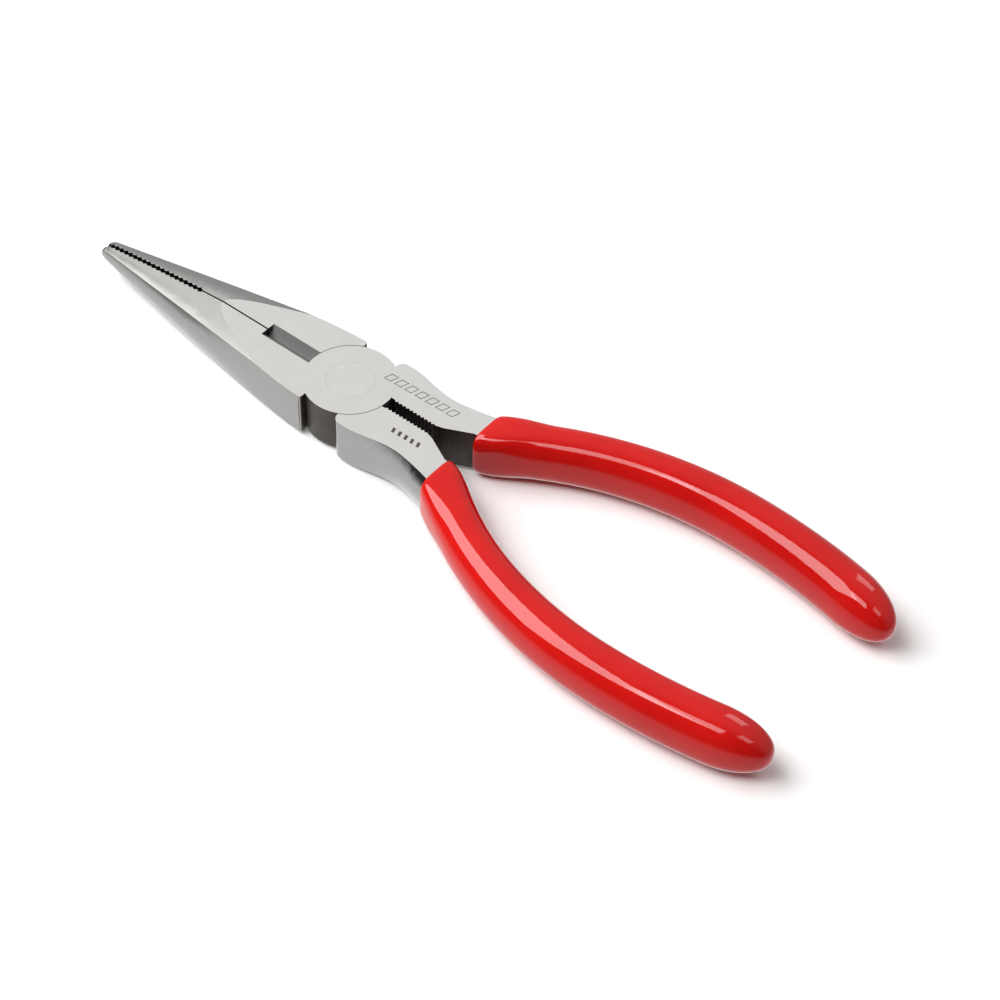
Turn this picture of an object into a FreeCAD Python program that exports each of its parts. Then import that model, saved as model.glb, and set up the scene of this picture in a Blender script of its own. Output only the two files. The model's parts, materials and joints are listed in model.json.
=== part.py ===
import FreeCAD, Part

import math
import os

from FreeCAD import Vector

# Long-nose pliers with a side cutter, a riveted lap joint and dipped grips.
#
# Working frame: the pivot axis is Z and the head's middle plane is Z = 0. The jaws point to -X
# and the handles to +X, and the tool is mirror-like about Y = 0. Both forgings are the same shape:
# the lower one is the upper one turned half a turn about X. Only their jaws differ: the cutting edges
# are ground to meet at one height, the lower half's teeth are set forward of the upper half's, and
# both noses are deeper on the tool's underside. At the end everything moves into the part frame, whose
# origin is the middle of the bounding box's bottom face. Sizes are millimetres.

# Head and lap joint
HEAD_THICKNESS = 11.0      # over the two ground flats
HUB_RADIUS = 10.8          # rim of each lap disc
LAP_CLEARANCE = 0.06       # between the two lap faces
RIM_CLEARANCE = 0.15       # radial, between a lap disc and the recess that it turns in
HEEL_LEDGE = 0.75          # how far the head's cheeks stand out past the lap disc
HEEL_SETBACK = 4.8         # pivot axis to the rear face of a jaw
SHOULDER_SETBACK = 5.0     # pivot axis to the front face of a handle
SHOULDER_RADIUS = 2.0      # rounded front corner of a handle, seen from above
HEEL_RADIUS = 0.5          # rounded rear corner of a jaw, seen from above

# Jaws
TIP_REACH = 77.1           # pivot axis to the jaw tips
TIP_HALF_WIDTH = 1.75
TIP_HALF_HEIGHT = 1.05     # at the gripping face
TIP_EDGE_HALF_HEIGHT = 0.7 # at the outer edge
TIP_DOME_RADIUS = 1.7
TIP_DOME_OFFSET = 0.95     # centre of each jaw's rounded tip to the middle plane
TAPER_REACH = 10.2         # pivot axis to where the tapering sides would reach full width
CHEEK_SOFTNESS = 0.8       # how gently the taper runs into the parallel cheeks
FLAT_REACH = 38.8          # pivot axis to the front of the ground flats
EDGE_REACH = 20.0          # pivot axis to where the outer edges reach the flats
CROWN_OVERRUN = 2.6        # height above the flats that the nose's crown has at the heel
EDGE_OVERRUN = 1.2         # the same for its outer edge
NOSE_REACH = 48.8          # pivot axis to where the nose's round sides start to flatten
NOSE_UNDERSIDE = 1.3       # how much deeper the nose is below the middle plane than above it
NOSE_SIDE_CROWN = 0.26     # swell of the sides as a share of the edge height, on the nose
HEEL_SIDE_CROWN = 0.02     # the same at the cheeks

# Gripping teeth, plain stretch and cutter
TOOTH_PITCH = 1.5
TOOTH_DEPTH = 0.5
TOOTH_COUNT = 21
TOOTH_RELIEF = 0.28        # each jaw's tooth crests to the middle plane, when closed
TOOTH_OFFSET = 0.45        # how far the lower jaw's teeth are set forward of the upper jaw's
TIP_LAND = 0.3             # jaw tip to the upper jaw's first tooth space
PLAIN_RELIEF = 0.2         # each jaw's plain stretch to the middle plane, when closed
CUTTER_FRONT = 25.0        # pivot axis to the front end of the cutter's recess
CUTTER_HALF_WIDTH = 2.1    # of the recess, at the flats
CUTTER_BEVEL_DEPTH = 2.15  # flats on the upper side to the cutting edges
CUTTER_LAND = 0.04         # each cutting edge to the plane where they meet, when closed

# Serrated slot behind the joint
SLOT_HALF_WIDTH = 1.7
SLOT_TOOTH_PITCH = 1.05
SLOT_TOOTH_DEPTH = 0.45
SLOT_TOOTH_COUNT = 12
SLOT_FRONT_LAND = 0.9      # plain stretch between the lap disc's rim and the first tooth
SLOT_REAR_LAND = 0.7       # plain stretch behind the last tooth, before the walls part
SLOT_FLARE_ANGLE = 26.2    # degrees between each parting wall and the tool's axis

# Shank between the joint and the grips
SHOULDER_LEDGE = 1.05      # how far the shoulders stand out past the lap disc
SHOULDER_LENGTH = 3.5      # straight stretch behind the shoulder's front face
WAIST_REACH = 21.0         # pivot axis to the narrowest place of the shank
WAIST_HALF_WIDTH = 10.0    # outer edge of the flats there
NECK_HALF_WIDTH = 12.1     # outer edge of the flats where the grip starts
NECK_HOLLOW = 0.35         # how far that edge is hollowed between the waist and the neck
SHOULDER_SWELL = 0.2       # how far the outer side stands out past the flats' edge, mid-height
WAIST_SWELL = 1.0
NECK_SWELL = 1.9
INNER_SWELL = 0.02         # the same on the inner side, which is all but flat
INNER_STOCK = 0.35         # steel inside the serrations, which their cut removes
PARTING_STOCK = 0.15       # the same inside the parting walls

# Handle centreline: a straight run, a tight arc up to the widest place, then a gentle arc
GRIP_START = 32.5          # pivot axis to the front of the grips
GRIP_REACH = 131.6         # pivot axis to the rear end of the grips
BOW_REACH = 90.0           # pivot axis to the widest place
BOW_HALF_WIDTH = 26.85     # middle plane to the centreline there
FRONT_ARC_RADIUS = 94.4
REAR_ARC_RADIUS = 148.0
RUN_ANGLE = 28.4           # degrees between the straight run and the tool's axis

# Steel tang inside each grip
TANG_STEP = 0.6            # how far its top and bottom lie inside the ground flats
TANG_HALF_WIDTH = 3.5
TANG_SIDE_CROWN = 1.2      # swell of its sides
TANG_TRANSITION = 7.5      # from the front of the grip to where the full tang starts
TANG_END_SHARE = 0.8       # size of its rear end against its front
TANG_STOP = 6.0            # solid vinyl behind its rear end

# Dipped vinyl grips
GRIP_SIDE_SKIN = 1.7       # vinyl beside the tang, near the front
GRIP_FACE_SKIN = 0.75      # vinyl over the ground flats, near the front
GRIP_SIDE_GAIN = 0.55      # extra half width at the rear
GRIP_FACE_GAIN = 0.35      # extra half height at the rear
GRIP_LIP = 0.5             # how much the front lip rounds in
GRIP_LIP_LENGTH = 2.2
GRIP_NECK_LENGTH = 12.0    # from the boxy front lip to the round part
GRIP_LIP_SQUARENESS = 4.8  # exponent of the superellipse section at the lip
GRIP_SQUARENESS = 2.45     # the same along the rest
GRIP_TAIL_LENGTH = 12.6    # length of the rounded rear end
GRIP_TAIL_FULLNESS = 0.9   # exponent of its dome, where 1 is an ellipse and less is fuller

# Pivot rivet, flush on both flats
RIVET_RADIUS = 3.8
RIVET_HEAD_RADIUS = 5.5
RIVET_HEAD_DEPTH = 1.8
RIVET_CLEARANCE = 0.03     # radial, in the half that turns on the rivet

HALF_THICKNESS = HEAD_THICKNESS / 2
TANG_HALF_HEIGHT = HALF_THICKNESS - TANG_STEP
GRIP_HALF_WIDTH = TANG_HALF_WIDTH + GRIP_SIDE_SKIN
GRIP_HALF_HEIGHT = HALF_THICKNESS + GRIP_FACE_SKIN
CHEEK_HALF_WIDTH = HUB_RADIUS + HEEL_LEDGE
OVERSHOOT = 1.0            # how far cutting tools run past the surfaces that they trim
Z_AXIS = Vector(0, 0, 1)
X_AXIS = Vector(1, 0, 0)


def box_between(low, high):
    """Box from one corner to the opposite one."""
    size = Vector(*high) - Vector(*low)
    return Part.makeBox(size.x, size.y, size.z, Vector(*low))


def disc(radius, low, high):
    """Cylinder about the pivot axis between two heights."""
    return Part.makeCylinder(radius, high - low, Vector(0, 0, low), Z_AXIS)


def prism(points, low, high):
    """Upright prism over a plan outline of (x, y) points, between two heights."""
    corners = [Vector(x, y, low) for x, y in points]
    face = Part.Face(Part.makePolygon(corners + corners[:1]))
    return face.extrude(Vector(0, 0, high - low))


def smoothstep(value, low, high):
    """0 at low, 1 at high, with a gentle start and end."""
    t = min(1.0, max(0.0, (value - low) / (high - low)))
    return t * t * (3 - 2 * t)


def through(points, x):
    """Value at x of the parabola through three (x, value) points."""
    total = 0.0
    for i, (xi, value) in enumerate(points):
        for j, (xj, _) in enumerate(points):
            if i != j:
                value *= (x - xj) / (xi - xj)
        total += value
    return total


def smooth_loft(wires):
    """Smooth solid through closed wires."""
    return Part.makeLoft(wires, True, False)


# ---------------------------------------------------------------- jaws


def jaw_half_width(x):
    """Distance of the jaw's outer edge from the middle plane: a straight taper into the cheeks."""
    slope = (CHEEK_HALF_WIDTH - TIP_HALF_WIDTH) / (TIP_REACH - TAPER_REACH)
    taper = TIP_HALF_WIDTH + slope * (x + TIP_REACH)
    gap = math.hypot(taper - CHEEK_HALF_WIDTH, CHEEK_SOFTNESS)
    return (taper + CHEEK_HALF_WIDTH - gap) / 2


def jaw_section(x, underside):
    """Half-round closed wire across the upper half's jaw, which lies on the -Y side.

    underside is the Z direction, -1 or 1, that ends up below when the tool is put together.
    """
    heel = -HEEL_SETBACK
    crown = through([(-TIP_REACH, TIP_HALF_HEIGHT), (-FLAT_REACH, HALF_THICKNESS),
                     (heel, HALF_THICKNESS + CROWN_OVERRUN)], x)
    edge = through([(-TIP_REACH, TIP_EDGE_HALF_HEIGHT), (-EDGE_REACH, HALF_THICKNESS),
                    (heel, HALF_THICKNESS + EDGE_OVERRUN)], x)
    width = jaw_half_width(x)
    fade = smoothstep(x, -NOSE_REACH, -TAPER_REACH)
    swell = edge * (NOSE_SIDE_CROWN + (HEEL_SIDE_CROWN - NOSE_SIDE_CROWN) * fade)
    deeper = NOSE_UNDERSIDE * (1 - fade)
    above, below = (deeper, 0) if underside > 0 else (0, deeper)
    drop = crown - edge
    arch = (width ** 2 + drop ** 2) / (2 * drop)
    middle = crown - arch + math.sqrt(arch ** 2 - (width / 2) ** 2)
    inner_top, outer_top = Vector(x, 0, crown + above), Vector(x, -width, edge + above)
    inner_low, outer_low = Vector(x, 0, -crown - below), Vector(x, -width, -edge - below)
    return Part.Wire([
        Part.Arc(inner_top, Vector(x, -width / 2, middle + above), outer_top).toShape(),
        Part.Arc(outer_top, Vector(x, -width - swell, (above - below) / 2), outer_low).toShape(),
        Part.Arc(outer_low, Vector(x, -width / 2, -middle - below), inner_low).toShape(),
        Part.makeLine(inner_low, inner_top),
    ])


def gripping_face(tip_land):
    """Prism that trims the jaw's inner side: teeth, the plain stretch and the cutter's land.

    tip_land is the distance from the jaw's tip to its first tooth space.
    """
    front = -TIP_REACH - OVERSHOOT
    first = -TIP_REACH + tip_land
    outline = [(front, OVERSHOOT), (front, -TOOTH_RELIEF), (first, -TOOTH_RELIEF)]
    for i in range(TOOTH_COUNT):
        start = first + i * TOOTH_PITCH
        outline.append((start + TOOTH_PITCH / 2, -TOOTH_RELIEF - TOOTH_DEPTH))
        outline.append((start + TOOTH_PITCH, -TOOTH_RELIEF))
    teeth_end = first + TOOTH_COUNT * TOOTH_PITCH
    outline += [
        (teeth_end, -PLAIN_RELIEF),
        (-CUTTER_FRONT, -PLAIN_RELIEF),
        (-CUTTER_FRONT, -CUTTER_LAND),
        (0, -CUTTER_LAND),
        (0, OVERSHOOT),
    ]
    reach = HALF_THICKNESS + OVERSHOOT
    return prism(outline, -reach, reach)


def cutter_bevels(edge_height):
    """The two grinding cuts that leave a cutting edge at one height: a short one and a steep one."""
    tools = []
    for side in (1, -1):
        depth = HALF_THICKNESS - side * edge_height
        slope = (CUTTER_HALF_WIDTH - CUTTER_LAND) / depth
        top = side * (HALF_THICKNESS + OVERSHOOT)
        wide = CUTTER_LAND + slope * (depth + OVERSHOOT)
        corners = [Vector(-CUTTER_FRONT, -CUTTER_LAND, edge_height),
                   Vector(-CUTTER_FRONT, -wide, top),
                   Vector(-CUTTER_FRONT, OVERSHOOT, top),
                   Vector(-CUTTER_FRONT, OVERSHOOT, edge_height)]
        face = Part.Face(Part.makePolygon(corners + corners[:1]))
        tools.append(face.extrude(X_AXIS * CUTTER_FRONT))
    return tools


def jaw(edge_height, tip_land, underside):
    """Jaw on the -Y side, before it joins its lap disc.

    edge_height is the height of its cutting edge, tip_land the land ahead of its first tooth space, and
    underside the Z direction that ends up below.
    """
    rear = -HEEL_SETBACK + OVERSHOOT
    span = TIP_REACH + rear
    stations = [-TIP_REACH + share * span for share in (0, 0.16, 0.34, 0.52, 0.7, 0.82, 0.91, 1)]
    blank = smooth_loft([jaw_section(x, underside) for x in stations])
    wide = CHEEK_HALF_WIDTH + 4 * OVERSHOOT
    flats = box_between((-TIP_REACH - OVERSHOOT, -wide, -HALF_THICKNESS),
                        (-HEEL_SETBACK, OVERSHOOT, HALF_THICKNESS))
    blank = blank.common(flats)
    dome_x = -TIP_REACH + TIP_DOME_RADIUS
    nose_block = box_between((-TIP_REACH - OVERSHOOT, -TIP_DOME_RADIUS * 2, -TIP_DOME_RADIUS * 2),
                             (dome_x, OVERSHOOT, TIP_DOME_RADIUS * 2))
    dome_centre = Vector(dome_x, -TIP_DOME_OFFSET, underside * NOSE_UNDERSIDE / 2)
    dome = Part.makeSphere(TIP_DOME_RADIUS, dome_centre)
    heel_corner = rounded_corner(-HEEL_SETBACK, -jaw_half_width(-HEEL_SETBACK), HEEL_RADIUS, -1)
    tools = [nose_block.cut(dome), gripping_face(tip_land), heel_corner]
    return blank.cut(tools + cutter_bevels(edge_height))


def rounded_corner(face_x, edge_y, radius, direction):
    """Upright tool that rounds the corner between an X face and an outer edge.

    The material lies on the `direction` side of face_x along X, and towards Y = 0 from edge_y.
    """
    side = math.copysign(1.0, edge_y)
    centre_x, centre_y = face_x + direction * radius, edge_y - side * radius
    reach = HALF_THICKNESS + OVERSHOOT
    xs = sorted((face_x - direction * OVERSHOOT, centre_x))
    ys = sorted((edge_y + side * 2 * OVERSHOOT, centre_y))
    block = box_between((xs[0], ys[0], -reach), (xs[1], ys[1], reach))
    round_bar = Part.makeCylinder(radius, 2 * reach, Vector(centre_x, centre_y, -reach), Z_AXIS)
    return block.cut(round_bar)


# ---------------------------------------------------------------- handles


def spine(x):
    """(y, slope angle in radians) of the handle's centreline, for the handle on the +Y side."""
    run = math.radians(RUN_ANGLE)
    front_x = BOW_REACH - FRONT_ARC_RADIUS * math.sin(run)
    front_y = BOW_HALF_WIDTH - FRONT_ARC_RADIUS * (1 - math.cos(run))
    if x < front_x:
        return front_y - (front_x - x) * math.tan(run), run
    radius = FRONT_ARC_RADIUS if x < BOW_REACH else REAR_ARC_RADIUS
    angle = math.asin((BOW_REACH - x) / radius)
    return BOW_HALF_WIDTH - radius * (1 - math.cos(angle)), angle


def bar_section(x, inner, edge, inner_swell, outer_swell, height, reference):
    """Closed wire across the steel bar of the +Y handle.

    inner and edge are the Y of its two sides at the height `reference`, and each side swells
    outwards by its own swell at the middle. The wire reaches up and down to `height`.
    """
    def side(y, swell):
        radius = reference ** 2 / (2 * swell) + swell / 2
        return y + swell - radius + math.sqrt(radius ** 2 - height ** 2)

    outer_y = side(edge, outer_swell)
    inner_y = -side(-inner, inner_swell)
    outer_top, outer_low = Vector(x, outer_y, height), Vector(x, outer_y, -height)
    inner_top, inner_low = Vector(x, inner_y, height), Vector(x, inner_y, -height)
    return Part.Wire([
        Part.makeLine(inner_top, outer_top),
        Part.Arc(outer_top, Vector(x, edge + outer_swell, 0), outer_low).toShape(),
        Part.makeLine(outer_low, inner_low),
        Part.Arc(inner_low, Vector(x, inner - inner_swell, 0), inner_top).toShape(),
    ])


def shank_sections():
    """Sections from the shoulder back to the front of the grip."""
    above = HALF_THICKNESS + OVERSHOOT
    root = SLOT_HALF_WIDTH - SLOT_TOOTH_DEPTH - INNER_STOCK
    hip = HUB_RADIUS + SHOULDER_LEDGE
    straight = SHOULDER_SETBACK + SHOULDER_LENGTH
    neck = GRIP_START + OVERSHOOT / 2
    flare = (WAIST_REACH + neck) / 2
    hollow = (WAIST_HALF_WIDTH + NECK_HALF_WIDTH) / 2 - NECK_HOLLOW
    rows = [
        (SHOULDER_SETBACK, root, hip, SHOULDER_SWELL),
        (straight, root, hip, SHOULDER_SWELL),
        ((straight + WAIST_REACH) / 2, root, (hip + WAIST_HALF_WIDTH) / 2,
         (SHOULDER_SWELL + WAIST_SWELL) / 2),
        (WAIST_REACH, root, WAIST_HALF_WIDTH, WAIST_SWELL),
        (flare, parting_wall(flare) - PARTING_STOCK, hollow, (WAIST_SWELL + NECK_SWELL) / 2),
        (neck, parting_wall(neck) - PARTING_STOCK, NECK_HALF_WIDTH, NECK_SWELL),
    ]
    return [bar_section(x, inner, edge, INNER_SWELL, swell, above, HALF_THICKNESS)
            for x, inner, edge, swell in rows]


def tang_sections():
    """Sections of the tang inside the grip, which tapers towards its rear end."""
    front, rear = GRIP_START + TANG_TRANSITION, GRIP_REACH - TANG_STOP
    wires = []
    steps = 7
    for i in range(steps + 1):
        share = i / steps
        x = front + (rear - front) * share
        size = 1 + (TANG_END_SHARE - 1) * share
        y, angle = spine(x)
        half = TANG_HALF_WIDTH * size / math.cos(angle)
        swell = TANG_SIDE_CROWN * size
        height = TANG_HALF_HEIGHT * size
        wires.append(bar_section(x, y - half + swell, y + half - swell, swell, swell, height, height))
    return wires


def parting_reach():
    """Distance from the pivot axis to where the slot's walls start to part."""
    return HUB_RADIUS + SLOT_FRONT_LAND + SLOT_TOOTH_COUNT * SLOT_TOOTH_PITCH + SLOT_REAR_LAND


def parting_wall(x):
    """Distance of the slot's wall from the middle plane, where the walls part."""
    return SLOT_HALF_WIDTH + (x - parting_reach()) * math.tan(math.radians(SLOT_FLARE_ANGLE))


def serrated_slot():
    """Prism that trims the bar's inner side: serrated behind the joint, then parting."""
    first = HUB_RADIUS + SLOT_FRONT_LAND
    outline = [(0, -OVERSHOOT), (0, SLOT_HALF_WIDTH), (first, SLOT_HALF_WIDTH)]
    for i in range(SLOT_TOOTH_COUNT):
        start = first + i * SLOT_TOOTH_PITCH
        outline.append((start + SLOT_TOOTH_PITCH / 2, SLOT_HALF_WIDTH - SLOT_TOOTH_DEPTH))
        outline.append((start + SLOT_TOOTH_PITCH, SLOT_HALF_WIDTH))
    rear = GRIP_START - OVERSHOOT / 2
    outline += [(parting_reach(), SLOT_HALF_WIDTH), (rear, parting_wall(rear)), (rear, -OVERSHOOT)]
    reach = HALF_THICKNESS + OVERSHOOT
    return prism(outline, -reach, reach)


def bar():
    """Shank and tang of the upper half, on the +Y side, before they join the lap disc."""
    blank = smooth_loft(shank_sections() + tang_sections())
    flats = box_between((SHOULDER_SETBACK, -OVERSHOOT, -HALF_THICKNESS),
                        (GRIP_REACH, BOW_HALF_WIDTH * 2, HALF_THICKNESS))
    corner = rounded_corner(SHOULDER_SETBACK, HUB_RADIUS + SHOULDER_LEDGE, SHOULDER_RADIUS, 1)
    return blank.common(flats).cut([serrated_slot(), corner])


# ---------------------------------------------------------------- rivet and halves


def rivet(clearance=0.0):
    """Rivet with a conical head flush on each flat, or its hole when there is a clearance."""
    shank, head = RIVET_RADIUS + clearance, RIVET_HEAD_RADIUS + clearance
    neck = HALF_THICKNESS - RIVET_HEAD_DEPTH
    profile = [(0, -HALF_THICKNESS), (head, -HALF_THICKNESS), (shank, -neck),
               (shank, neck), (head, HALF_THICKNESS), (0, HALF_THICKNESS)]
    corners = [Vector(r, 0, z) for r, z in profile]
    face = Part.Face(Part.makePolygon(corners + corners[:1]))
    return face.revolve(Vector(0, 0, 0), Z_AXIS, 360)


def half(handle_bar, nose, rivet_clearance):
    """Upper forging: jaw on -Y, lap disc above the middle plane, handle on +Y."""
    body = nose.fuse([disc(HUB_RADIUS, 0, HALF_THICKNESS), handle_bar])
    recess = disc(HUB_RADIUS + RIM_CLEARANCE, -HALF_THICKNESS - OVERSHOOT, LAP_CLEARANCE / 2)
    return body.cut([recess, rivet(rivet_clearance)]).removeSplitter()


# ---------------------------------------------------------------- grips


def grip_section(x, half_width, half_height, squareness):
    """Closed superellipse across a grip, centred on the handle's centreline.

    It stands square to the tool's axis at the front lip and square to the centreline further back.
    """
    y, angle = spine(x)
    tilt = angle * smoothstep(x, GRIP_START + GRIP_NECK_LENGTH, GRIP_START + 2.5 * GRIP_NECK_LENGTH)
    stretched = half_width / math.cos(angle - tilt)
    count = 28
    points = []
    for i in range(count):
        turn = 2 * math.pi * (i + 0.5) / count
        c, s = math.cos(turn), math.sin(turn)
        across = math.copysign(abs(c) ** (2 / squareness), c) * stretched
        up = math.copysign(abs(s) ** (2 / squareness), s) * half_height
        points.append(Vector(x - across * math.sin(tilt), y + across * math.cos(tilt), up))
    curve = Part.BSplineCurve()
    curve.interpolate(Points=points, PeriodicFlag=True)
    return Part.Wire([curve.toShape()])


def grip_size(x):
    """(half width, half height, squareness) of the grip at x, before its rear end rounds off."""
    share = smoothstep(x, GRIP_START, GRIP_REACH - GRIP_TAIL_LENGTH)
    ahead = max(0.0, 1 - (x - GRIP_START) / GRIP_LIP_LENGTH)
    lip = GRIP_LIP * (1 - math.sqrt(1 - ahead ** 2))
    width = GRIP_HALF_WIDTH + GRIP_SIDE_GAIN * share - lip
    height = GRIP_HALF_HEIGHT + GRIP_FACE_GAIN * share - lip
    neck = smoothstep(x, GRIP_START, GRIP_START + GRIP_NECK_LENGTH)
    squareness = GRIP_LIP_SQUARENESS + (GRIP_SQUARENESS - GRIP_LIP_SQUARENESS) * neck
    return width, height, squareness


def grip(handle_bar):
    """Dipped grip on the upper half's handle, shaped inside to the steel that it covers."""
    tail = GRIP_REACH - GRIP_TAIL_LENGTH
    neck = GRIP_START + GRIP_NECK_LENGTH
    stations = [GRIP_START + GRIP_LIP_LENGTH * share for share in (0, 0.12, 0.35, 1)]
    stations += [(stations[-1] + neck) / 2, neck]
    steps = 7
    stations += [neck + (tail - neck) * (i + 1) / steps for i in range(steps)]
    wires = [grip_section(x, *grip_size(x)) for x in stations]
    for turn in (18, 34, 48, 60, 70, 78, 84, 88):
        x = tail + GRIP_TAIL_LENGTH * math.sin(math.radians(turn))
        shrink = math.cos(math.radians(turn)) ** GRIP_TAIL_FULLNESS
        width, height, squareness = grip_size(x)
        wires.append(grip_section(x, width * shrink, height * shrink, squareness))
    return smooth_loft(wires).cut(handle_bar)


# ---------------------------------------------------------------- assembly


def placed(shape, turned, origin):
    """Shape in the part frame; the lower half's pieces turn over about the X axis first."""
    result = shape.copy()
    if turned:
        result.rotate(Vector(0, 0, 0), X_AXIS, 180)
    result.translate(-origin)
    return result


def main():
    """Build every piece and write one STEP file for each."""
    handle_bar = bar()
    vinyl = grip(handle_bar)
    edge_height = HALF_THICKNESS - CUTTER_BEVEL_DEPTH
    extent = vinyl.optimalBoundingBox()
    origin = Vector((extent.XMax - TIP_REACH) / 2, 0, extent.ZMin)
    print(f"pivot at x {-origin.x:.3f}, head's middle plane at z {-origin.z:.3f}")
    upper = half(handle_bar, jaw(edge_height, TIP_LAND, -1), RIVET_CLEARANCE)
    lower = half(handle_bar, jaw(-edge_height, TIP_LAND - TOOTH_OFFSET, 1), 0.0)
    pieces = {
        "upper_half": placed(upper, False, origin),
        "lower_half": placed(lower, True, origin),
        "pivot_rivet": placed(rivet(), True, origin),
        "upper_grip": placed(vinyl, False, origin),
        "lower_grip": placed(vinyl, True, origin),
    }
    os.makedirs("parts", exist_ok=True)
    for name, shape in pieces.items():
        box = shape.BoundBox
        print(f"{name}: {len(shape.Solids)} solid, valid {shape.isValid()}, volume {shape.Volume:.0f},"
              f" x {box.XMin:.2f}..{box.XMax:.2f} y {box.YMin:.2f}..{box.YMax:.2f}"
              f" z {box.ZMin:.2f}..{box.ZMax:.2f}")
        shape.exportStep(f"parts/{name}.step")


main()
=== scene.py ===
"""Long-nose side-cutting pliers: the looks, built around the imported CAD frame.

Everything is in metres and in the frame's own axes: +X runs from the jaw tips towards the handles,
+Y towards the upper half's handle, and +Z up along the pivot axis.
"""

import json
import logging
import math
from dataclasses import dataclass
from enum import Enum
from typing import Any

import bmesh
import bpy
from mathutils import Matrix, Vector

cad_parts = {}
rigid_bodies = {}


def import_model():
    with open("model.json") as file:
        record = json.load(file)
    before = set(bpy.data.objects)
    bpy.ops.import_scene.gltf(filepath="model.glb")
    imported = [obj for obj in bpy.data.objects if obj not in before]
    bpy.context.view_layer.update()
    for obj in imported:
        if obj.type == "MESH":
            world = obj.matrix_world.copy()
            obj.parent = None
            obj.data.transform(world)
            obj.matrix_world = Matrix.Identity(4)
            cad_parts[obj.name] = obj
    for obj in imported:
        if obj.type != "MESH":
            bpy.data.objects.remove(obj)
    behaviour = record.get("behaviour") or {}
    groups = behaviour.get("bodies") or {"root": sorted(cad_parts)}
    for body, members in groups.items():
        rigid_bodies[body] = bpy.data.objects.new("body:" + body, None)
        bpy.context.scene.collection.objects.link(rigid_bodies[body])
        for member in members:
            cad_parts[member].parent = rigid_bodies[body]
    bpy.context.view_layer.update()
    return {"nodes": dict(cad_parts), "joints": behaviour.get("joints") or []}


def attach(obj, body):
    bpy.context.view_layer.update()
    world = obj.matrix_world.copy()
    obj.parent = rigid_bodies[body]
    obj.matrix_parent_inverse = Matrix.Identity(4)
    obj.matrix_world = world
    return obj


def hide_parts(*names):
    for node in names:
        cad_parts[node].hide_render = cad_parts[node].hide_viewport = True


LOG = logging.getLogger("pliers")
MM = 0.001
FLAT_HEIGHT = 5.5 * MM  # from the middle of the joint to each ground flat
SHARP_ANGLE = math.radians(40)  # edges at least this sharp are shaded as creases
LEVEL = 0.99999  # vertical share of a level face's normal
WELD_DISTANCE = 0.0005 * MM
FLAT_ANGLE = math.radians(0.05)  # facets this close to one plane become one face
EVEN = (1, 1, 1)  # a pattern that isn't stretched


# ---------------------------------------------------------------- materials


class Zone(Enum):
    """Surface of a forging, in the order of its material slots.

    GROUND is the two flats, OXIDE the inner and lap faces, CUTTER the cutter's bevels, EDGE the broken
    edges, lighter for rubbed wear and a painted highlight, NOSE the sloping top and underside of the jaw,
    HUB the wall round the joint, SEAM the broken edges along the lap, painted near black as shade in the
    gap between the halves, and SIDE all else.
    """

    GROUND = 0
    OXIDE = 1
    CUTTER = 2
    EDGE = 3
    NOSE = 4
    HUB = 5
    SEAM = 6
    SIDE = 7


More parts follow.
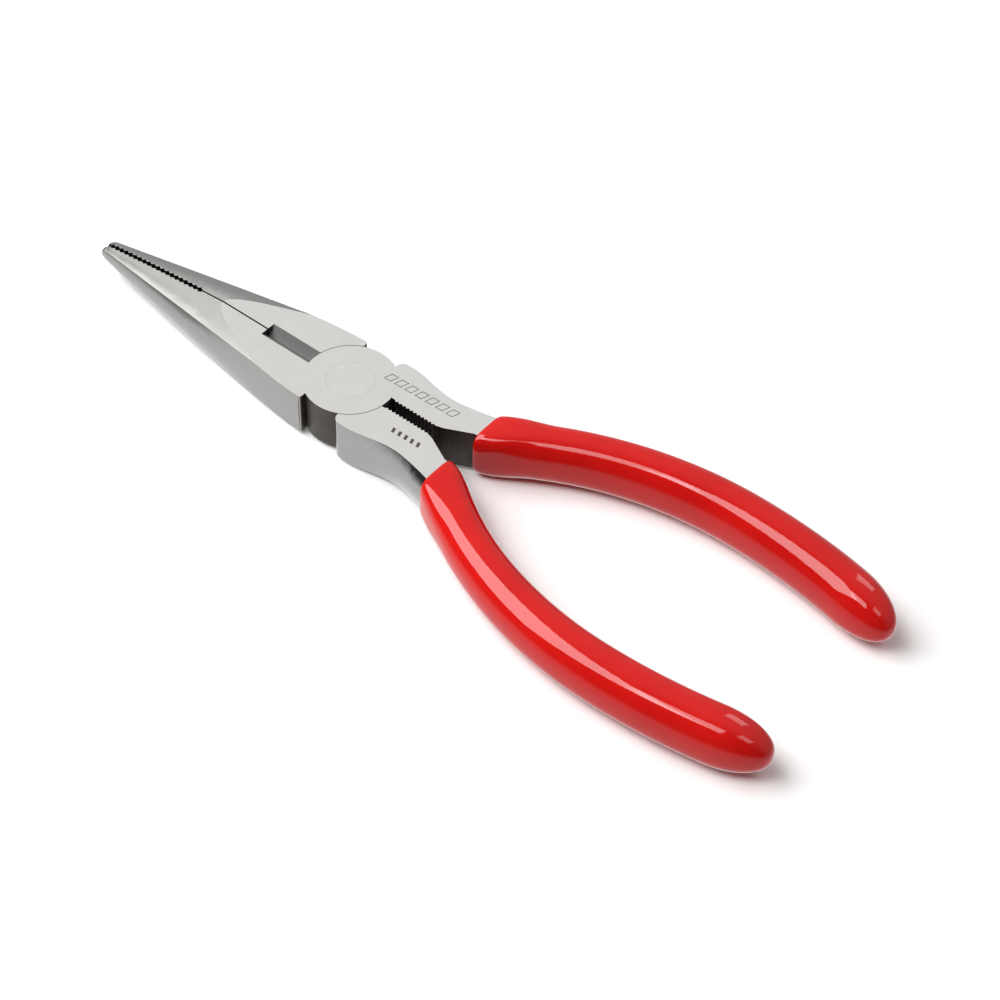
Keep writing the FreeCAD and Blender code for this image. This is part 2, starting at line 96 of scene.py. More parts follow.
class ShaderBench:
    """Adds shader nodes to one new material and joins them."""

    def __init__(self, name: str) -> None:
        """Start a material whose Principled shader is ready to be fed.

        Args:
            name: Name of the material.
        """
        self.material = bpy.data.materials.new(name)
        self.material.use_nodes = True
        self.tree = self.material.node_tree
        self.shader = self.tree.nodes["Principled BSDF"]
        self.place = self.tree.nodes.new("ShaderNodeTexCoord").outputs["Object"]

    def constant(self, socket: str, value: Any) -> None:
        """Set one of the shader's own sockets."""
        self.shader.inputs[socket].default_value = value

    def noise(self, stretch: tuple[float, float, float], scale: float, detail: float,
              roughness: float = 0.55) -> bpy.types.NodeSocket:
        """Add a noise pattern.

        Args:
            stretch: How often the pattern repeats along X, Y and Z, against `scale`.
            scale: Features per metre.
            detail: Octaves of finer noise.
            roughness: Strength of each octave against the one before.

        Returns:
            The pattern's factor, from 0 to 1.
        """
        mapping = self.tree.nodes.new("ShaderNodeMapping")
        mapping.inputs["Scale"].default_value = stretch
        self.tree.links.new(self.place, mapping.inputs["Vector"])
        texture = self.tree.nodes.new("ShaderNodeTexNoise")
        texture.inputs["Scale"].default_value = scale
        texture.inputs["Detail"].default_value = detail
        texture.inputs["Roughness"].default_value = roughness
        self.tree.links.new(mapping.outputs["Vector"], texture.inputs["Vector"])
        return texture.outputs["Fac"]

    def spread(self, source: bpy.types.NodeSocket, low: float, high: float,
               start: float = 0.3, end: float = 0.7) -> bpy.types.NodeSocket:
        """Map a pattern's `start`..`end` to `low`..`high`.

        Args:
            source: The pattern.
            low: Result at `start`.
            high: Result at `end`.
            start: Pattern value that gives `low`.
            end: Pattern value that gives `high`.

        Returns:
            The mapped value.
        """
        node = self.tree.nodes.new("ShaderNodeMapRange")
        limits = {"From Min": start, "From Max": end, "To Min": low, "To Max": high}
        for name, value in limits.items():
            node.inputs[name].default_value = value
        self.tree.links.new(source, node.inputs["Value"])
        return node.outputs["Result"]

    def blend(self, factor: bpy.types.NodeSocket, first: tuple[float, float, float],
              second: tuple[float, float, float]) -> bpy.types.NodeSocket:
        """Blend two colours.

        Args:
            factor: Share of the second colour, from 0 to 1.
            first: The colour at 0.
            second: The colour at 1.

        Returns:
            The blended colour.
        """
        node = self.tree.nodes.new("ShaderNodeMix")
        node.data_type = "RGBA"
        node.inputs["A"].default_value = (*first, 1)
        node.inputs["B"].default_value = (*second, 1)
        self.tree.links.new(factor, node.inputs["Factor"])
        return node.outputs["Result"]

    def relief(self, height: bpy.types.NodeSocket, depth: float,
               under: bpy.types.NodeSocket | None = None) -> bpy.types.NodeSocket:
        """Add a bump.

        Args:
            height: Pattern that gives the height, from 0 to 1.
            depth: Height of 1, in metres.
            under: Normal of another bump beneath this one.

        Returns:
            The bumped normal.
        """
        node = self.tree.nodes.new("ShaderNodeBump")
        node.inputs["Distance"].default_value = depth
        self.tree.links.new(height, node.inputs["Height"])
        if under is not None:
            self.tree.links.new(under, node.inputs["Normal"])
        return node.outputs["Normal"]

    def feed(self, socket: str, source: bpy.types.NodeSocket) -> None:
        """Join a pattern to one of the shader's sockets."""
        self.tree.links.new(source, self.shader.inputs[socket])


@dataclass(frozen=True)
class SteelFinish:
    """Steel with grinding or broaching lines, blotches and a scatter of fine pits."""

    name: str
    bright: tuple[float, float, float]
    dull: tuple[float, float, float]
    metallic: float
    roughness: tuple[float, float]
    lines: tuple[float, float, float]
    line_depth: float
    blotch_scale: float = 160.0
    pit_scale: float = 2600.0
    pit_depth: float = 0.000004
    blotch_share: float = 0.5

    def material(self) -> bpy.types.Material:
        """Build the finish's material.

        Returns:
            The material.
        """
        bench = ShaderBench(self.name)
        bench.constant("Metallic", self.metallic)
        grain = bench.noise(self.lines, scale=1.0, detail=3.0)
        blotches = bench.noise(EVEN, self.blotch_scale, detail=4.0)
        pits = bench.noise(EVEN, self.pit_scale, detail=2.0)
        tone = self._average(bench, blotches, grain)
        bench.feed("Base Color", bench.blend(bench.spread(tone, 0.0, 1.0), self.dull, self.bright))
        bench.feed("Roughness", bench.spread(tone, self.roughness[1], self.roughness[0]))
        fine = bench.relief(pits, self.pit_depth)
        bench.feed("Normal", bench.relief(grain, self.line_depth, under=fine))
        return bench.material

    def _average(self, bench: ShaderBench, blotches: bpy.types.NodeSocket,
                 grain: bpy.types.NodeSocket) -> bpy.types.NodeSocket:
        """Average the blotches and the grain into one tone.

        Args:
            bench: The bench that holds both patterns.
            blotches: The coarse pattern.
            grain: The fine pattern.

        Returns:
            The tone, from 0 to 1.
        """
        share = bench.tree.nodes.new("ShaderNodeMath")
        share.operation = "MULTIPLY"
        share.inputs[1].default_value = 1 - self.blotch_share
        bench.tree.links.new(grain, share.inputs[0])
        total = bench.tree.nodes.new("ShaderNodeMath")
        total.operation = "MULTIPLY_ADD"
        total.inputs[1].default_value = self.blotch_share
        bench.tree.links.new(blotches, total.inputs[0])
        bench.tree.links.new(share.outputs[0], total.inputs[2])
        return total.outputs[0]


@dataclass(frozen=True)
class VinylFinish:
    """Glossy dipped vinyl, with the slow waves and faint sags of a dipped skin."""

    name: str = "dipped_vinyl"
    bright: tuple[float, float, float] = (0.57, 0.009, 0.007)
    deep: tuple[float, float, float] = (0.49, 0.006, 0.005)
    roughness: tuple[float, float] = (0.05, 0.09)
    refraction: float = 1.5
    wave_depth: float = 0.00006
    sag_depth: float = 0.00002

    def material(self) -> bpy.types.Material:
        """Build the vinyl's material.

        Returns:
            The material.
        """
        bench = ShaderBench(self.name)
        bench.constant("IOR", self.refraction)
        clouds = bench.noise(EVEN, scale=55.0, detail=3.0)
        waves = bench.noise((0.5, 1, 1), scale=95.0, detail=1.0)
        sags = bench.noise((1, 1, 0.35), scale=420.0, detail=2.0)
        bench.feed("Base Color", bench.blend(bench.spread(clouds, 0.0, 1.0), self.deep, self.bright))
        bench.feed("Roughness", bench.spread(sags, *self.roughness))
        slow = bench.relief(waves, self.wave_depth)
        normal = bench.relief(sags, self.sag_depth, under=slow)
        bench.feed("Normal", normal)
        return bench.material


@dataclass(frozen=True)
class FloorFinish:
    """Smooth white paper."""

    name: str = "white_paper"
    tint: tuple[float, float, float] = (0.93, 0.93, 0.925)
    fibre_shade: float = 0.99
    roughness: float = 0.7
    sheen: float = 0.2

    def material(self) -> bpy.types.Material:
        """Build the paper's material.

        Returns:
            The material.
        """
        bench = ShaderBench(self.name)
        bench.constant("Roughness", self.roughness)
        bench.constant("Specular IOR Level", self.sheen)
        fibres = bench.noise(EVEN, scale=700.0, detail=3.0)
        darker = tuple(self.fibre_shade * channel for channel in self.tint)
        bench.feed("Base Color", bench.blend(fibres, darker, self.tint))
        return bench.material


GROUND_STEEL = SteelFinish(
    "ground_steel", bright=(0.635, 0.625, 0.61), dull=(0.595, 0.585, 0.57), metallic=1.0,
    roughness=(0.27, 0.31), lines=(700, 3200, 3200), line_depth=0.000002, pit_depth=0.0000011)
NOSE_STEEL = SteelFinish(
    "nose_steel", bright=(0.565, 0.555, 0.54), dull=(0.52, 0.51, 0.495), metallic=1.0,
    roughness=(0.26, 0.32), lines=(3200, 900, 900), line_depth=0.000002, pit_depth=0.0000011)
SIDE_STEEL = SteelFinish(
    "side_steel", bright=(0.64, 0.63, 0.615), dull=(0.60, 0.59, 0.575), metallic=1.0,
    roughness=(0.19, 0.24), lines=(900, 900, 2400), line_depth=0.0000012, pit_depth=0.0000008)
HUB_STEEL = SteelFinish(
    "hub_steel", bright=(0.165, 0.152, 0.140), dull=(0.115, 0.104, 0.095), metallic=0.6,
    roughness=(0.42, 0.52), lines=(900, 900, 2400), line_depth=0.000004)
# Near black and not metallic: painted shade for the gap along the lap between the two halves.
SEAM_SHADE_STEEL = SteelFinish(
    "painted_seam_shade", bright=(0.020, 0.018, 0.016), dull=(0.010, 0.009, 0.008), metallic=0.0,
    roughness=(0.6, 0.7), lines=(900, 900, 900), line_depth=0.000002)
OXIDE_STEEL = SteelFinish(
    "oxide_steel", bright=(0.115, 0.100, 0.088), dull=(0.050, 0.042, 0.036), metallic=0.7,
    roughness=(0.42, 0.55), lines=(3400, 3400, 160), line_depth=0.000014)
CUTTER_STEEL = SteelFinish(
    "cutter_steel", bright=(0.42, 0.41, 0.40), dull=(0.34, 0.33, 0.32), metallic=0.5,
    roughness=(0.45, 0.55), lines=(3200, 500, 500), line_depth=0.00001)
# Lighter than the ground steel: partly rubbed wear, partly a painted highlight on the rounded edges.
EDGE_WEAR_AND_HIGHLIGHT_STEEL = SteelFinish(
    "rubbed_edge_and_highlight_steel", bright=(0.74, 0.73, 0.715), dull=(0.62, 0.61, 0.60), metallic=1.0,
    roughness=(0.26, 0.38), lines=(900, 900, 900), line_depth=0.000003)
RIVET_STEEL = SteelFinish(
    "rivet_steel", bright=(0.64, 0.63, 0.615), dull=(0.60, 0.59, 0.575), metallic=1.0,
    roughness=(0.27, 0.31), lines=(700, 3000, 3000), line_depth=0.000002, pit_depth=0.0000011)
ETCH = SteelFinish(
    "etched_mark", bright=(0.10, 0.09, 0.085), dull=(0.05, 0.045, 0.04), metallic=0.5,
    roughness=(0.5, 0.65), lines=(2000, 2000, 2000), line_depth=0.000008)


# ---------------------------------------------------------------- helpers


def welded(source: bpy.types.Object) -> bmesh.types.BMesh:
    """Copy a CAD node's mesh, with its doubled points merged and its flat faces made whole.

    Args:
        source: The CAD node's object, which isn't changed.

    Returns:
        The copy, ready to be edited.
    """
    edit = bmesh.new()
    edit.from_mesh(source.data)
    bmesh.ops.remove_doubles(edit, verts=edit.verts, dist=WELD_DISTANCE)
    bmesh.ops.dissolve_limit(edit, angle_limit=FLAT_ANGLE, verts=edit.verts, edges=edit.edges)
    return edit


def finished(name: str, mesh_edit: bmesh.types.BMesh, materials: list[bpy.types.Material],
             level_flats: bool = False) -> bpy.types.Object:
    """Turn an edited mesh into a smooth-shaded object at the origin.

    Args:
        name: Name of the new piece.
        mesh_edit: The mesh, which is freed.
        materials: The piece's material slots, in order.
        level_flats: Whether level faces stay dead flat, with a crease round them.

    Returns:
        The new object.
    """
    mesh_edit.normal_update()
    for edge in mesh_edit.edges:
        level_sides = {abs(face.normal.z) > LEVEL for face in edge.link_faces}
        border = level_flats and len(level_sides) == 2
        edge.smooth = not border and edge.calc_face_angle(0.0) < SHARP_ANGLE
    mesh = bpy.data.meshes.new(name)
    mesh_edit.to_mesh(mesh)
    mesh_edit.free()
    for material in materials:
        mesh.materials.append(material)
    piece = bpy.data.objects.new(name, mesh)
    bpy.context.scene.collection.objects.link(piece)
    mesh.polygons.foreach_set("use_smooth", [True] * len(mesh.polygons))
    weighting = piece.modifiers.new("flat_faces_stay_flat", "WEIGHTED_NORMAL")
    weighting.keep_sharp = True
    weighting.weight = 50
    LOG.info("%s: %d faces", name, len(mesh.polygons))
    return piece


def mounted(piece: bpy.types.Object, body: str, node: str | None = None) -> None:
    """Make a piece ride on its body, and let it stand for a CAD node.

    Args:
        piece: The piece.
        body: The body that carries it.
        node: The CAD node that it replaces, if any.
    """
    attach(piece, body)
    if node is not None:
        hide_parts(node)


def smoothstep(value: float, low: float, high: float) -> float:
    """Return 0 at low and 1 at high, with a gentle start and end."""
    t = min(1.0, max(0.0, (value - low) / (high - low)))
    return t * t * (3 - 2 * t)


# ---------------------------------------------------------------- forgings and rivet


@dataclass
class Forging:
    """One steel half: the CAD mesh with its edges broken and each surface given its own finish.

    The shares that sort the faces are parts of a face's normal: its rise is the vertical part, and the
    others are the parts that point inwards, to the other half's side, and to the joint.
    """

    node: str
    body: str
    pivot: Vector
    turned: bool
    finishes: list[bpy.types.Material]
    lap_gap: float = 0.1 * MM
    flat_height: float = FLAT_HEIGHT
    skin: float = 0.01 * MM
    hub_radius: float = 10.8 * MM
    hub_margin: float = 0.3 * MM
    rivet_radius: float = 6.0 * MM
    seam_reach: float = 0.3 * MM
    edge_break: float = 0.13 * MM
    sharp_angle: float = math.radians(28)
    level_rise: float = 0.95
    wall_rise: float = 0.2
    bevel_rise: float = 0.12
    nose_rise: float = 0.55
    bevel_inward: float = 0.1
    inner_inward: float = 0.05
    shoulder_to_joint: float = 0.7

    def build(self, source: bpy.types.Object) -> bpy.types.Object:
        """Copy the CAD node's mesh, dress it and put it on its body.

        Args:
            source: The CAD node's object, which isn't changed.

        Returns:
            The finished piece.
        """
        edit = welded(source)
        edit.normal_update()
        for face in edit.faces:
            face.material_index = self.zone(face.calc_center_median(), face.normal).value
        self.break_edges(edit)
        bmesh.ops.triangulate(edit, faces=[face for face in edit.faces if len(face.verts) > 4])
        piece = finished(self.node + "_steel", edit, self.finishes, level_flats=True)
        mounted(piece, self.body, self.node)
        return piece

    def break_edges(self, edit: bmesh.types.BMesh) -> None:
        """Round the crisp outside edges a little, and give each round its finish: lighter for rubbed wear
        and a painted highlight, near black as painted shade along the lap, or oxide among dark faces.

        Args:
            edit: The half's mesh.
        """
        crisp = [edge for edge in edit.edges
                 if edge.is_manifold and edge.is_convex and edge.calc_face_angle() > self.sharp_angle
                 and (edge.verts[0].co - self.pivot).xy.length > self.rivet_radius]
        made = bmesh.ops.bevel(
            edit, geom=crisp, offset=self.edge_break, offset_type="OFFSET", segments=2, profile=0.5,
            affect="EDGES", clamp_overlap=True, material=-1)
        for face in made["faces"]:
            dark = all(near.material_index in (Zone.OXIDE.value, Zone.HUB.value)
                       for edge in face.edges for near in edge.link_faces)
            at_lap = abs(face.calc_center_median().z - self.pivot.z) < self.seam_reach
            # Rounds at the lap are painted near black as the shade in the gap between the halves; other
            # rounds are lighter, partly rubbed wear and partly a painted highlight.
            dark_zone = Zone.SEAM if at_lap else Zone.OXIDE
            face.material_index = (dark_zone if dark else Zone.EDGE).value

    def zone(self, place: Vector, normal: Vector) -> Zone:
        """Say which finish a face has.

        Args:
            place: Middle of the face, in the frame.
            normal: The face's outward direction.

        Returns:
            The face's zone.
        """
        side = -1.0 if self.turned else 1.0
        x, y, z = place - self.pivot
        y, across = side * y, side * normal.y
        height, rise = abs(z), abs(normal.z)
        if rise > self.level_rise and height < self.lap_gap:
            return Zone.OXIDE
        if rise > self.level_rise and height > self.flat_height - self.skin:
            return Zone.GROUND
        if rise < self.wall_rise and math.hypot(x, y) < self.hub_radius + self.hub_margin:
            return Zone.HUB
        inward = across if y < 0 else -across
        to_joint = normal.x if y < 0 else -normal.x
        if inward > self.bevel_inward and rise > self.bevel_rise:
            return Zone.CUTTER
        if inward > self.inner_inward or to_joint > self.shoulder_to_joint:
            return Zone.OXIDE
        return Zone.NOSE if rise > self.nose_rise and x < 0 else Zone.SIDE


@dataclass
class Rivet:
    """The pivot rivet, whose rims show as a faint ring on each flat."""

    node: str
    body: str
    finish: bpy.types.Material

    def build(self, source: bpy.types.Object) -> bpy.types.Object:
        """Copy the CAD rivet, weld its mesh and put it on its body.

        Args:
            source: The CAD node's object, which isn't changed.

        Returns:
            The finished piece.
        """
        piece = finished(self.node + "_steel", welded(source), [self.finish], level_flats=True)
        mounted(piece, self.body, self.node)
        return piece


# ---------------------------------------------------------------- grips


@dataclass
class DippedGrip:
    """A dipped vinyl grip: a thin lip on the steel, then a round section swept to a rounded end."""

    node: str
    body: str
    pivot: Vector
    turned: bool
    finish: bpy.types.Material
    start: float = 32.5 * MM
    reach: float = 131.6 * MM
    bow_reach: float = 90.0 * MM
    bow_half_width: float = 26.85 * MM
    front_arc: float = 94.4 * MM
    rear_arc: float = 148.0 * MM
    run_angle: float = math.radians(28.4)
    half_width: float = 5.2 * MM
    half_height: float = 6.25 * MM
    width_gain: float = 0.55 * MM
    height_gain: float = 0.35 * MM
    inner_swell: float = 0.4 * MM
    swell_end: float = 4.0
    lip_inner: float = 4.9 * MM
    lip_outer: float = 5.5 * MM
    lip_half_height: float = 5.68 * MM
    lip_turn: float = 1.5 * MM
    lip_length: float = 6.0 * MM
    neck_length: float = 12.0 * MM
    neck_lengths_to_tilt: float = 2.5
    lip_squareness: float = 4.2
    lip_inner_squareness: float = 4.6
    squareness: float = 2.45
    tail_length: float = 12.6 * MM
    tail_fullness: float = 0.9
    ring_points: int = 72
    run_rings: int = 90
    tail_rings: int = 22
    lip_rings: int = 8
    tail_weld: float = 0.002 * MM

    def spine(self, x: float) -> tuple[float, float]:
        """Give the handle's centreline.

        Args:
            x: Distance behind the pivot axis.

        Returns:
            The distance from the middle plane, and the slope in radians.
        """
        front_x = self.bow_reach - self.front_arc * math.sin(self.run_angle)
        if x < front_x:
            front_y = self.bow_half_width - self.front_arc * (1 - math.cos(self.run_angle))
            return front_y - (front_x - x) * math.tan(self.run_angle), self.run_angle
        radius = self.front_arc if x < self.bow_reach else self.rear_arc
        angle = math.asin((self.bow_reach - x) / radius)
        return self.bow_half_width - radius * (1 - math.cos(angle)), angle

    def stations(self) -> list[tuple[float, float, float]]:
        """Set out the rings from the lip to the tail.

        Returns:
            Each ring's distance behind the pivot, its inset and its share of the full section.
        """
        rings = [(self.start, self.lip_turn, 1.0)]
        for i in range(self.lip_rings):
            turn = math.pi / 2 * i / self.lip_rings
            rings.append((self.start + self.lip_length * (1 - math.cos(turn)), 0.0, 1.0))
        front, tail = self.start + self.lip_length, self.reach - self.tail_length
        for i in range(self.run_rings):
            rings.append((front + (tail - front) * i / self.run_rings, 0.0, 1.0))
        for i in range(self.tail_rings + 1):
            turn = math.pi / 2 * i / self.tail_rings
            shrink = max(0.0, math.cos(turn)) ** self.tail_fullness
            rings.append((tail + self.tail_length * math.sin(turn), 0.0, shrink))
        return rings

    def reaches(self, x: float, slant: float) -> tuple[float, float, float]:
        """Say how far the skin reaches from the centreline.

        Args:
            x: Distance behind the pivot axis.
            slant: Cosine of the angle between the ring and the square cut of the handle.

        Returns:
            The reach inwards, outwards and up.
        """
        share = smoothstep(x, self.start, self.reach - self.tail_length)
        behind = (x - self.start) / self.lip_length
        rise = math.sqrt(1 - max(0.0, 1 - behind) ** 2)
        full = (self.half_width + self.width_gain * share) / slant
        swell = self.inner_swell * (1 - smoothstep(behind, 1, self.swell_end))
        height = self.half_height + self.height_gain * share
        return (self.lip_inner + (full + swell - self.lip_inner) * rise,
                self.lip_outer + (full - self.lip_outer) * rise,
                self.lip_half_height + (height - self.lip_half_height) * rise)

    def point(self, ring: tuple[float, float, float], turn: float) -> Vector:
        """Give one point of a ring.

        Args:
            ring: The ring's distance behind the pivot, inset and share of the full section.
            turn: Angle round the ring, in radians.

        Returns:
            The point in the frame.
        """
        x, inset, shrink = ring
        y, angle = self.spine(x)
        tilt_end = self.start + self.neck_lengths_to_tilt * self.neck_length
        tilt = angle * smoothstep(x, self.start + self.neck_length, tilt_end)
        inner, outer, height = self.reaches(x, math.cos(angle - tilt))
        neck = smoothstep(x, self.start, self.start + self.neck_length)
        c, s = math.cos(turn), math.sin(turn)
        lip_squareness = self.lip_squareness if c > 0 else self.lip_inner_squareness
        squareness = lip_squareness + (self.squareness - lip_squareness) * neck
        reach = shrink * (abs(c) ** squareness + abs(s) ** squareness) ** (-1 / squareness)
        across = reach * c * ((outer if c > 0 else inner) - inset)
        up = reach * s * (height - inset)
        side = -1.0 if self.turned else 1.0
        along, outwards = x - across * math.sin(tilt), y + across * math.cos(tilt)
        return self.pivot + Vector((along, side * outwards, side * up))

    def build(self) -> bpy.types.Object:
        """Shape a tube of unit height, cut into rings, into the grip and put it on its body.

        Returns:
            The finished piece.
        """
        rings = self.stations()
        edit = bmesh.new()
        bmesh.ops.create_cone(edit, cap_ends=True, segments=self.ring_points, radius1=1.0, radius2=1.0,
                              depth=1.0, matrix=Matrix.Translation((0, 0, 0.5)))
        along = [edge for edge in edit.edges if abs(edge.verts[0].co.z - edge.verts[1].co.z) > 0.5]
        bmesh.ops.subdivide_edges(edit, edges=along, cuts=len(rings) - 2, use_grid_fill=True)
        half_step = math.pi / self.ring_points
        for vert in edit.verts:
            ring = rings[round(vert.co.z * (len(rings) - 1))]
            vert.co = self.point(ring, math.atan2(vert.co.y, vert.co.x) + half_step)
        bmesh.ops.remove_doubles(edit, verts=edit.verts, dist=self.tail_weld)
        bmesh.ops.recalc_face_normals(edit, faces=edit.faces)
        piece = finished(self.node + "_vinyl", edit, [self.finish])
        mounted(piece, self.body, self.node)
        return piece


# ---------------------------------------------------------------- marks


@dataclass
class EtchedRow:
    """A plain decorative row on a flat, in thin dark blocks: outlined lozenges or solid dashes."""

    name: str
    body: str
    start: Vector
    end: Vector
    count: int
    length: float
    height: float
    lean: float
    line: float
    finish: bpy.types.Material
    lift: float = 0.006 * MM
    depth: float = 0.05 * MM

    def build(self) -> bpy.types.Object:
        """Make the row and put it on its body.

        Returns:
            The finished piece.
        """
        run = self.end - self.start
        heading = math.atan2(run.y, run.x)
        edit = bmesh.new()
        for i in range(self.count):
            middle = self.start + run * (i / (self.count - 1)) + Vector((0, 0, self.lift))
            self.shape(edit, Matrix.Translation(middle) @ Matrix.Rotation(heading, 4, "Z"))
        bmesh.ops.recalc_face_normals(edit, faces=edit.faces)
        piece = finished(self.name, edit, [self.finish])
        mounted(piece, self.body)
        return piece

    def shape(self, edit: bmesh.types.BMesh, place: Matrix) -> None:
        """Add one leaning block, as a frame where the line is thin enough to leave a hole.

        Args:
            edit: The row's mesh.
            place: Where the block's middle goes, and which way it faces.
        """
        size = Matrix.Diagonal((self.length, self.height, self.depth, 1))
        slant = Matrix(((1, self.lean, 0, 0), (0, 1, 0, 0), (0, 0, 1, 0), (0, 0, 0, 1)))
        made = bmesh.ops.create_cube(edit, size=1.0, matrix=place @ slant @ size)
        faces = {face for vert in made["verts"] for face in vert.link_faces}
        middle = place.translation.z
        caps = [face for face in faces if abs(face.calc_center_median().z - middle) > self.depth / 4]
        if self.line < min(self.height, self.length) / 2:
            bmesh.ops.inset_individual(edit, faces=caps, thickness=self.line)
            bmesh.ops.delete(edit, geom=caps, context="FACES_ONLY")


# ---------------------------------------------------------------- stage, light and camera


@dataclass(frozen=True)
class Softbox:
    """A square lamp that faces the pliers and lights either the steel or all else."""

    name: str
    azimuth: float
    elevation: float
    distance: float
    side: float
    radiance: float
    on_steel: bool

    def hang(self, aim: Vector, steel: bpy.types.Collection) -> None:
        """Hang the lamp so that it faces a point, and flag it off the steel or off all else.

        Args:
            aim: The point that it faces.
            steel: The steel pieces.
        """
        lamp = bpy.data.lights.new(self.name, "AREA")
        lamp.size = self.side
        lamp.energy = self.radiance * math.pi * self.side ** 2
        holder = bpy.data.objects.new(self.name, lamp)
        bpy.context.scene.collection.objects.link(holder)
        turn = Matrix.Rotation(math.radians(self.azimuth), 4, "Z")
        lean = Matrix.Rotation(math.radians(90 - self.elevation), 4, "Y")
        away = Matrix.Translation((0, 0, self.distance))
        holder.matrix_world = Matrix.Translation(aim) @ turn @ lean @ away
        lit = bpy.data.collections.new(self.name + "_flag")
        for piece in steel.objects:
            lit.objects.link(piece)
        for entry in lit.collection_objects:
            entry.light_linking.link_state = "INCLUDE" if self.on_steel else "EXCLUDE"
        holder.light_linking.receiver_collection = lit


@dataclass(frozen=True)
class ViewCamera:
    """A long lens that looks down on the pliers from beyond the near handle."""

    place: tuple[float, float, float] = (0.26897, -0.31903, 0.44749)
    heading: float = 38.40
    look_down: float = 47.51
    roll: float = 1.46
    focal_length: float = 99.18
    sensor_width: float = 36.0
    nearest: float = 0.01
    furthest: float = 50.0

    def set_up(self) -> None:
        """Place the camera and set plain tone mapping."""
        lens = bpy.data.cameras.new("camera")
        lens.lens, lens.sensor_width = self.focal_length, self.sensor_width
        lens.clip_start, lens.clip_end = self.nearest, self.furthest
        camera = bpy.data.objects.new("camera", lens)
        bpy.context.scene.collection.objects.link(camera)
        turn = Matrix.Rotation(math.radians(self.heading), 4, "Z")
        tilt = Matrix.Rotation(math.radians(90 - self.look_down), 4, "X")
        roll = Matrix.Rotation(math.radians(self.roll), 4, "Z")
        camera.matrix_world = Matrix.Translation(self.place) @ turn @ tilt @ roll
        bpy.context.scene.camera = camera
        bpy.context.scene.view_settings.view_transform = "Standard"


LAMPS = (
    Softbox("left_softbox", azimuth=-151, elevation=47, distance=1.2, side=1.14, radiance=5.5,
            on_steel=False),
    Softbox("overhead_softbox", azimuth=-90, elevation=68, distance=1.1, side=0.45, radiance=4.5,
            on_steel=False),
    Softbox("rear_softbox", azimuth=0, elevation=58, distance=1.2, side=0.4, radiance=2.2,
            on_steel=False),
    Softbox("right_softbox", azimuth=90, elevation=45, distance=1.2, side=0.35, radiance=2.6,
            on_steel=False),
    Softbox("back_card", azimuth=140, elevation=52, distance=1.2, side=1.1, radiance=0.72,
            on_steel=True),
    Softbox("left_card", azimuth=-148, elevation=52, distance=1.2, side=0.9, radiance=2.3,
            on_steel=True),
)


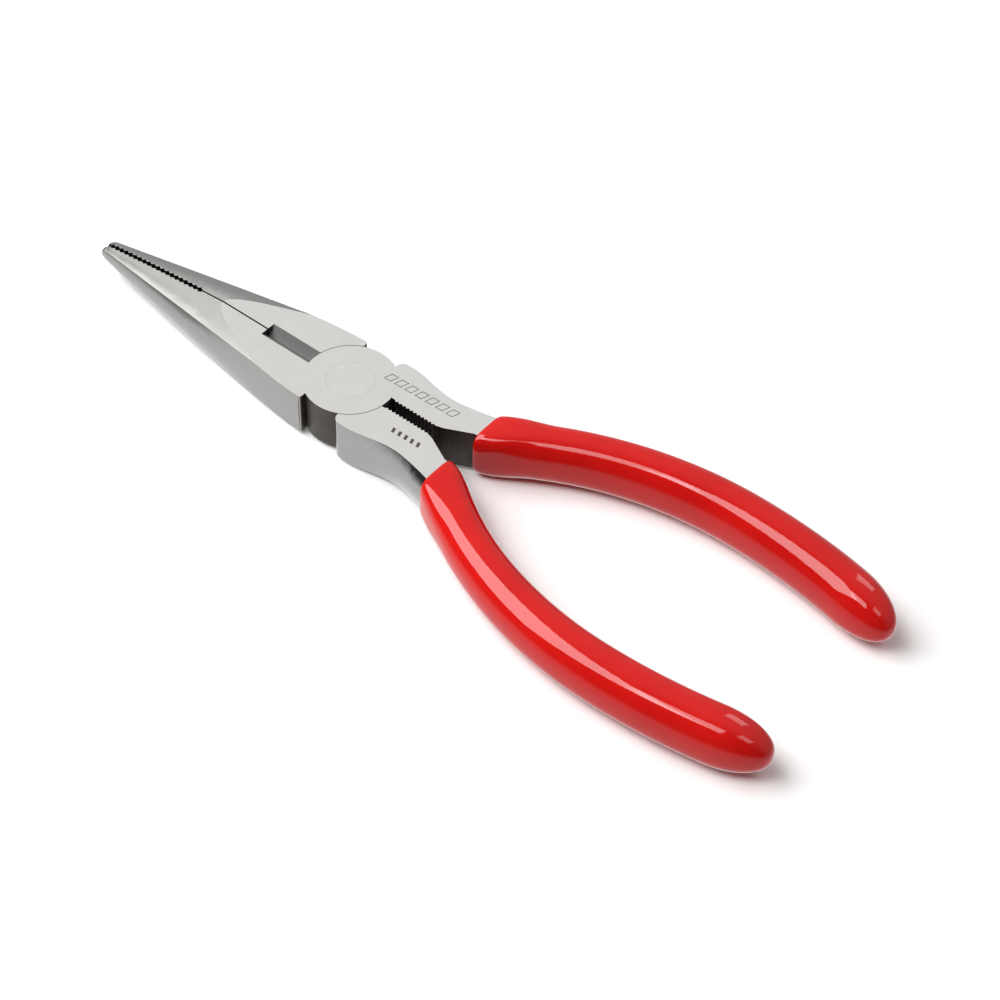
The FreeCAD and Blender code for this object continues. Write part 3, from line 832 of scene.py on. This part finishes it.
@dataclass
class Studio:
    """A white paper floor, lamps and a dim room.

    Four softboxes light the vinyl and the paper, and two cards light the steel. The room is dim behind
    the pliers and dark on the near side. Reflections show a pale lower half of the room in place of the
    floor.
    """

    aim: Vector
    steel: bpy.types.Collection
    room: float = 0.42
    near_room: float = 0.02
    near_side: float = -0.4
    far_side: float = 0.5
    paper: float = 0.64
    paper_start: float = -0.12
    paper_full: float = -0.5
    backdrop: float = 0.95
    floor_reach: float = 4.0

    def build(self) -> None:
        """Lay the floor, hang the lights and place the camera."""
        self.floor()
        self.world()
        for lamp in LAMPS:
            lamp.hang(self.aim, self.steel)
        ViewCamera().set_up()

    def floor(self) -> None:
        """Lay a large sheet of paper on the ground."""
        edit = bmesh.new()
        bmesh.ops.create_grid(edit, x_segments=2, y_segments=2, size=self.floor_reach)
        paper = finished("paper_floor", edit, [FloorFinish().material()])
        paper.visible_glossy = False

    def world(self) -> None:
        """Light the room: dim behind, dark on the near side, and a pale backdrop for the camera."""
        world = bpy.data.worlds.new("room")
        bpy.context.scene.world = world
        world.use_nodes = True
        tree = world.node_tree
        background = tree.nodes["Background"]
        background.inputs["Color"].default_value = (1, 1, 1, 1)
        split = tree.nodes.new("ShaderNodeSeparateXYZ")
        tree.links.new(tree.nodes.new("ShaderNodeTexCoord").outputs["Generated"], split.inputs[0])
        behind = self.ramp(split.outputs["Y"], (self.near_side, self.far_side), (self.near_room, self.room))
        under = self.ramp(split.outputs["Z"], (self.paper_start, self.paper_full), (0.0, self.paper))
        around = tree.nodes.new("ShaderNodeMath")
        around.operation = "ADD"
        tree.links.new(behind, around.inputs[0])
        tree.links.new(under, around.inputs[1])
        seen = tree.nodes.new("ShaderNodeMix")
        tree.links.new(tree.nodes.new("ShaderNodeLightPath").outputs["Is Camera Ray"], seen.inputs["Factor"])
        tree.links.new(around.outputs["Value"], seen.inputs["A"])
        seen.inputs["B"].default_value = self.backdrop
        tree.links.new(seen.outputs["Result"], background.inputs["Strength"])

    @staticmethod
    def ramp(source: bpy.types.NodeSocket, span: tuple[float, float],
             strengths: tuple[float, float]) -> bpy.types.NodeSocket:
        """Blend softly from one strength to another along a direction of the world.

        Args:
            source: The world direction's X, Y or Z.
            span: Where the blend starts and ends.
            strengths: Strength at the start and at the end.

        Returns:
            The blended strength.
        """
        tree = source.node.id_data
        node = tree.nodes.new("ShaderNodeMapRange")
        node.interpolation_type = "SMOOTHSTEP"
        limits = {"From Min": span[0], "From Max": span[1], "To Min": strengths[0], "To Max": strengths[1]}
        for name, value in limits.items():
            node.inputs[name].default_value = value
        tree.links.new(source, node.inputs["Value"])
        return node.outputs["Result"]


# ---------------------------------------------------------------- assembly


def marks(flat: Vector, etch: bpy.types.Material) -> tuple[EtchedRow, EtchedRow]:
    """Set out the two decorative rows behind the joint.

    Args:
        flat: The point on the pivot axis at the height of the upper flat.
        etch: The marks' material.

    Returns:
        The row on the upper half and the row on the lower half.
    """
    lozenges = EtchedRow(
        "lozenge_row", "upper_arm", start=flat + Vector((6.6, 6.4, 0)) * MM,
        end=flat + Vector((24.2, 6.8, 0)) * MM, count=7, length=1.9 * MM, height=2.1 * MM, lean=0.35,
        line=0.19 * MM, finish=etch)
    dashes = EtchedRow(
        "dash_row", "lower_arm", start=flat + Vector((17.6, -5.6, 0)) * MM,
        end=flat + Vector((24.6, -5.5, 0)) * MM, count=5, length=0.75 * MM, height=1.35 * MM, lean=-0.25,
        line=0.7 * MM, finish=etch)
    return lozenges, dashes


def main() -> None:
    """Build the pliers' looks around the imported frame."""
    logging.basicConfig(level=logging.INFO, format="%(message)s")
    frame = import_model()
    pivot = Vector(frame["joints"][0]["pos_m"])
    nodes = frame["nodes"]
    zone_finishes = (GROUND_STEEL, OXIDE_STEEL, CUTTER_STEEL, EDGE_WEAR_AND_HIGHLIGHT_STEEL, NOSE_STEEL, HUB_STEEL,
                     SEAM_SHADE_STEEL, SIDE_STEEL)
    steel = [finish.material() for finish in zone_finishes]
    vinyl = VinylFinish().material()
    etch = ETCH.material()
    metal = bpy.data.collections.new("metal")
    for name, body, turned in (("upper", "upper_arm", False), ("lower", "lower_arm", True)):
        forging = Forging(name + "_half", body, pivot, turned, steel)
        metal.objects.link(forging.build(nodes[name + "_half"]))
        DippedGrip(name + "_grip", body, pivot, turned, vinyl).build()
    rivet = Rivet("pivot_rivet", "lower_arm", RIVET_STEEL.material())
    metal.objects.link(rivet.build(nodes["pivot_rivet"]))
    for row in marks(pivot + Vector((0, 0, FLAT_HEIGHT)), etch):
        row.build()
    Studio(pivot, metal).build()


if __name__ == "__main__":
    main()
